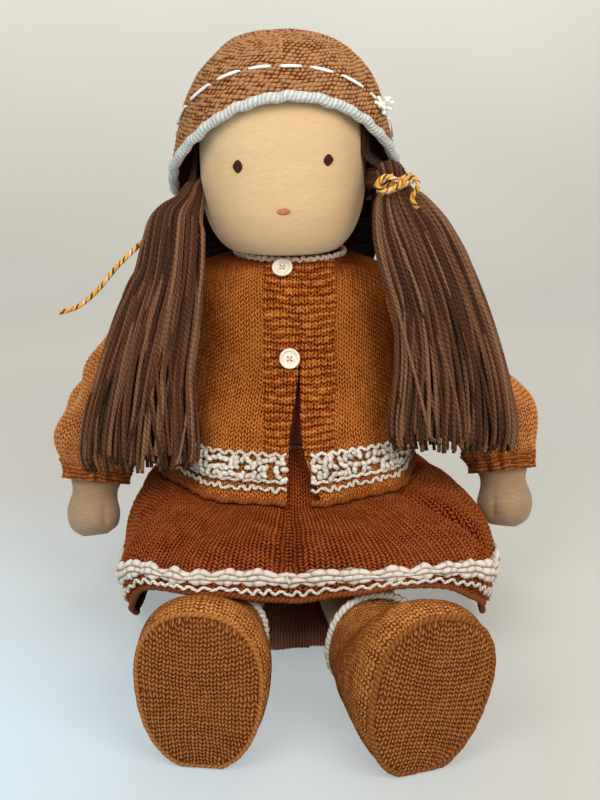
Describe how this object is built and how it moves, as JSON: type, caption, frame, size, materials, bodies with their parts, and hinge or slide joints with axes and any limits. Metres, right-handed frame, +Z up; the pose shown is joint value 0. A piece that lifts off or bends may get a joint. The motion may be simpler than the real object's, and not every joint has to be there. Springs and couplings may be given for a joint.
{
  "type": "doll",
  "caption": "Seated cloth doll with long yarn bunches, knitted bonnet, buttoned cardigan, full skirt and soft booties; head, arms and legs turn, bonnet and booties pull off",
  "frame": {"origin": "on the floor, at the middle of the flat face under the seat", "axes": "+Z up, the doll faces -Y, and -X is the side on the left of someone in front of it"},
  "size_m": [0.2715, 0.2974, 0.3219],
  "materials": {
    "jersey": "cream cotton jersey, stuffed firm with wool",
    "brown_knit": "orange-brown knitted wool",
    "white_wool": "white knitted or crocheted wool",
    "ribbon": "narrow white ribbon",
    "yarn": "dark brown wool yarn",
    "cord": "twisted cord of many colours, mostly yellow",
    "brown_thread": "dark brown stitching thread",
    "red_thread": "salmon red stitching thread",
    "button": "cream plastic"
  },
  "bodies": {
    "torso": {"torso": "jersey", "dress_bodice": "brown_knit", "cardigan_back": "brown_knit", "cardigan_front_left": "brown_knit", "cardigan_front_right": "brown_knit", "button_band_left": "brown_knit", "button_band_right": "brown_knit", "neck_edging": "white_wool", "lace_left": "white_wool", "lace_right": "white_wool", "lace_back": "white_wool", "button_upper": "button", "button_lower": "button", "skirt": "brown_knit", "skirt_band": "white_wool"},
    "head": {"head": "jersey", "hair_cap": "yarn", "eye_left": "brown_thread", "eye_right": "brown_thread", "mouth": "red_thread", "hair_bunch_left": "yarn", "hair_bunch_right": "yarn", "hair_tie_left": "cord", "hair_tie_left_tail": "cord", "hair_tie_right": "cord", "hair_tie_right_bow": "cord"},
    "hat": {"hat": "brown_knit", "hat_edging": "white_wool", "hat_ribbon": "ribbon", "hat_ribbon_knot": "ribbon"},
    "arm_left": {"arm_left": "jersey", "sleeve_left": "brown_knit"},
    "arm_right": {"arm_right": "jersey", "sleeve_right": "brown_knit"},
    "leg_left": {"leg_left": "jersey"},
    "leg_right": {"leg_right": "jersey"},
    "bootie_left": {"bootie_left": "brown_knit", "bootie_sole_left": "brown_knit", "bootie_trim_left": "white_wool"},
    "bootie_right": {"bootie_right": "brown_knit", "bootie_sole_right": "brown_knit", "bootie_trim_right": "white_wool"}
  },
  "joints": [
    {"name": "neck_turn", "type": "hinge", "parent": "torso", "child": "head", "pos_m": [0, 0.0155, 0.189], "axis": [0, 0, 1], "range_deg": [-30, 30], "deforming": ["hair_bunch_left", "hair_bunch_right", "hair_tie_left_tail"]},
    {"name": "hat_lift", "type": "slide", "parent": "head", "child": "hat", "axis": [0, 0, 1], "range_m": [0, 0.13]},
    {"name": "arm_left_raise", "type": "hinge", "parent": "torso", "child": "arm_left", "pos_m": [-0.06, 0.012, 0.1735], "axis": [0.2235, 0.8941, -0.3881], "range_deg": [0, 70]},
    {"name": "arm_right_raise", "type": "hinge", "parent": "torso", "child": "arm_right", "pos_m": [0.061, 0.012, 0.1735], "axis": [0.2253, -0.901, 0.3707], "range_deg": [0, 70]},
    {"name": "hip_left", "type": "hinge", "parent": "torso", "child": "leg_left", "pos_m": [-0.031, -0.03, 0.027], "axis": [-1, 0, 0], "range_deg": [-75, 15], "deforming": ["skirt", "skirt_band"]},
    {"name": "hip_right", "type": "hinge", "parent": "torso", "child": "leg_right", "pos_m": [0.031, -0.03, 0.027], "axis": [-1, 0, 0], "range_deg": [-75, 15], "deforming": ["skirt", "skirt_band"]},
    {"name": "bootie_left_pull", "type": "slide", "parent": "leg_left", "child": "bootie_left", "axis": [-0.0599, -0.9982, 0], "range_m": [0, 0.09], "deforming": ["bootie_left", "bootie_trim_left"]},
    {"name": "bootie_right_pull", "type": "slide", "parent": "leg_right", "child": "bootie_right", "axis": [0.1483, -0.9889, 0], "range_m": [0, 0.09], "deforming": ["bootie_right", "bootie_trim_right"]}
  ]
}
